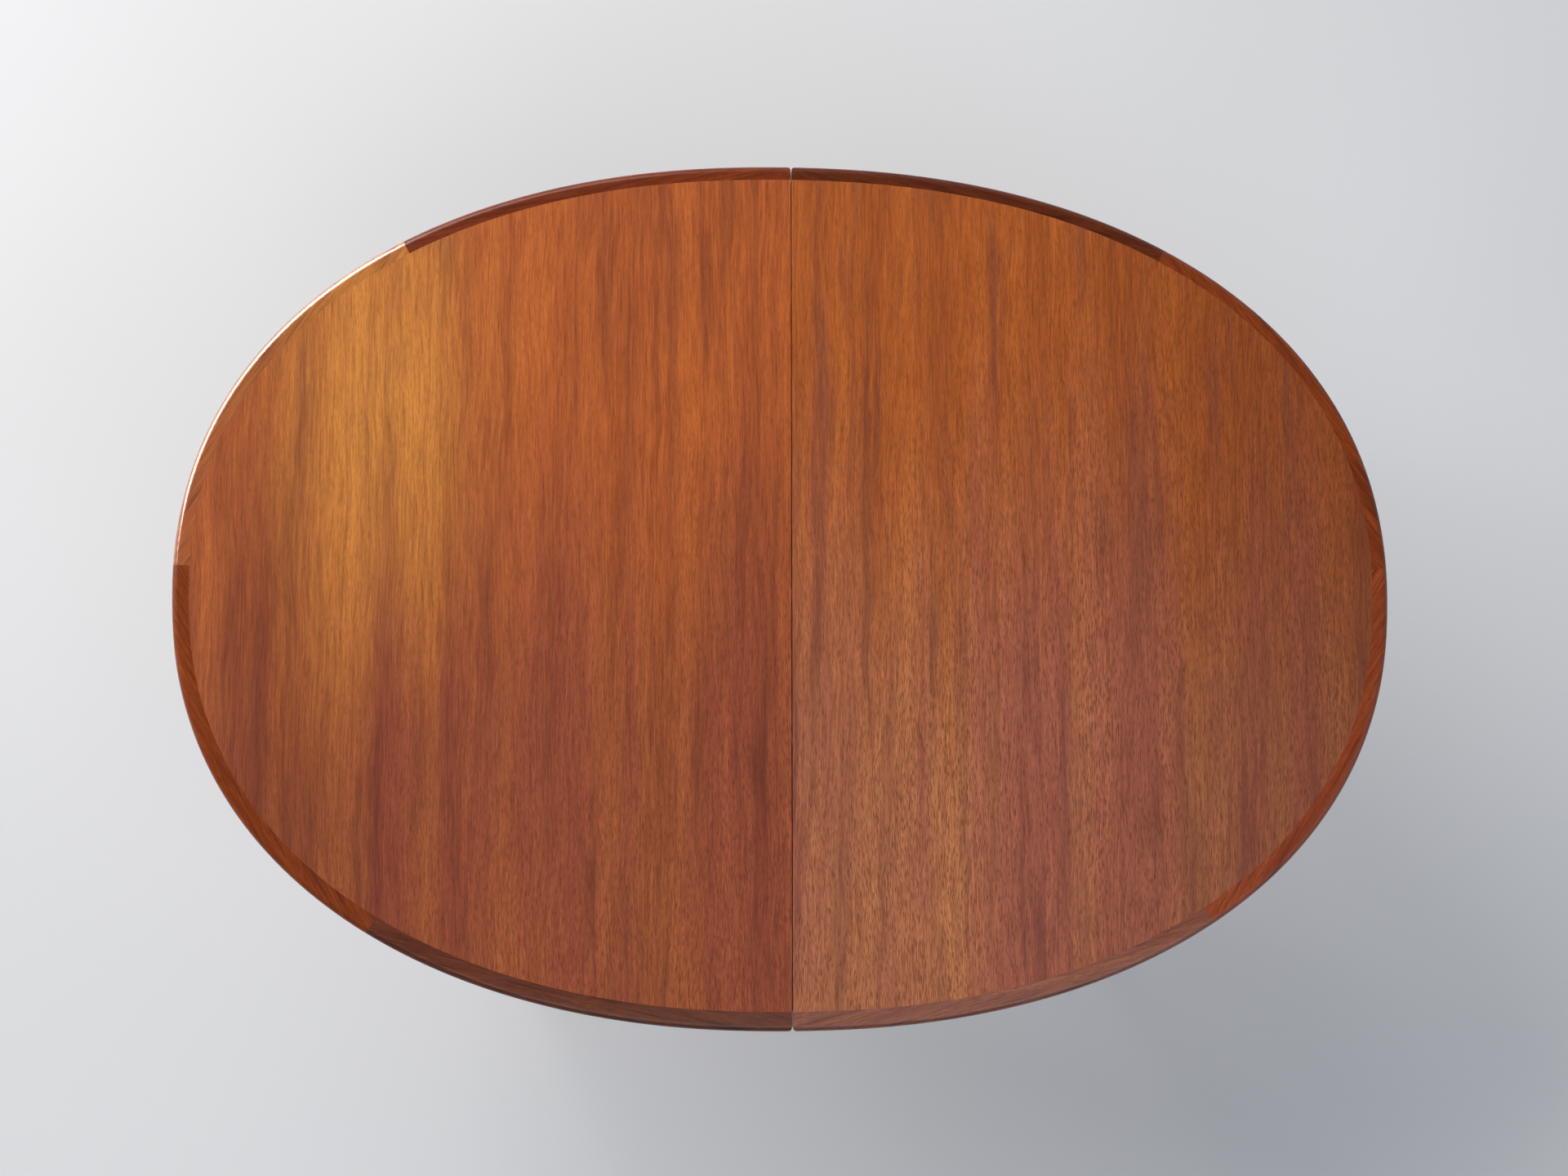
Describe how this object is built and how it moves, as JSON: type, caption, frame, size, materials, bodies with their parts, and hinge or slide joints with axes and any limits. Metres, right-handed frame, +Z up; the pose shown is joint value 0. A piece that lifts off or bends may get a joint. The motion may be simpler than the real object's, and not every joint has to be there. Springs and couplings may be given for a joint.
{
  "type": "butterfly leaf table",
  "caption": "Oval teak dining table; the halves of its top slide apart on wooden runners over a folded butterfly leaf stored beneath.",
  "frame": {"origin": "on the floor under the middle of the closed top", "axes": "+X along the table, across the split in the top; +Y to the back; +Z up"},
  "size_m": [1.5, 1.068, 0.73],
  "materials": {
    "top_veneer": "satin oiled teak veneer",
    "lipping_wood": "satin oiled solid teak",
    "frame_wood": "satin oiled solid teak",
    "runner_wood": "bare planed beech",
    "steel": "zinc plated",
    "brass": "satin",
    "glide_plastic": "matt"
  },
  "bodies": {
    "frame": {"leg_back_right": "frame_wood", "leg_back_left": "frame_wood", "leg_front_left": "frame_wood", "leg_front_right": "frame_wood", "back_side_rail": "frame_wood", "front_side_rail": "frame_wood", "right_end_rail": "frame_wood", "left_end_rail": "frame_wood", "back_inner_guide": "runner_wood", "front_inner_guide": "runner_wood", "back_outer_guide": "runner_wood", "front_outer_guide": "runner_wood", "right_cross_rail": "runner_wood", "left_cross_rail": "runner_wood", "corner_blocks": "runner_wood", "leg_bolts": "steel", "leg_nuts": "steel", "leaf_rest_pins": "steel", "pivot_bushes": "brass", "foot_glides": "glide_plastic"},
    "left_top": {"left_top_panel": "top_veneer", "left_lipping_a": "lipping_wood", "left_lipping_b": "lipping_wood", "left_lipping_c": "lipping_wood", "left_lipping_d": "lipping_wood", "left_back_runner": "runner_wood", "left_front_runner": "runner_wood", "left_stop_pegs": "runner_wood", "split_dowels": "runner_wood", "left_runner_screws": "steel"},
    "right_top": {"right_top_panel": "top_veneer", "right_lipping_a": "lipping_wood", "right_lipping_b": "lipping_wood", "right_lipping_c": "lipping_wood", "right_lipping_d": "lipping_wood", "right_back_runner": "runner_wood", "right_front_runner": "runner_wood", "right_stop_pegs": "runner_wood", "right_runner_screws": "steel"},
    "pivoting_leaf": {"pivoting_leaf_panel": "top_veneer", "pivoting_leaf_lipping": "lipping_wood", "pivoting_leaf_dowels": "runner_wood", "right_pivot_bracket": "steel", "left_pivot_bracket": "steel", "pivot_pins": "steel", "leaf_rest_lugs": "steel", "leaf_plate_screws": "steel", "pivoting_leaf_hinge_plates": "brass", "leaf_hinge_pins": "brass", "leaf_catches": "brass"},
    "folding_leaf": {"folding_leaf_panel": "top_veneer", "folding_leaf_lipping": "lipping_wood", "folding_leaf_dowels": "runner_wood", "folding_leaf_hinge_plates": "brass", "leaf_catch_strikes": "brass"}
  },
  "joints": [
    {"name": "left_top_slide", "type": "slide", "parent": "frame", "child": "left_top", "axis": [-1, 0, 0], "range_m": [0, 0.262]},
    {"name": "right_top_slide", "type": "slide", "parent": "frame", "child": "right_top", "axis": [1, 0, 0], "range_m": [0, 0.262]},
    {"name": "leaf_flip", "type": "hinge", "parent": "frame", "child": "pivoting_leaf", "pos_m": [0, -0.1335, 0.69], "axis": [1, 0, 0], "range_deg": [0, 4.5]},
    {"name": "leaf_fold", "type": "hinge", "parent": "pivoting_leaf", "child": "folding_leaf", "pos_m": [0, -0.267, 0.65], "axis": [-1, 0, 0], "range_deg": [0, 90]}
  ]
}
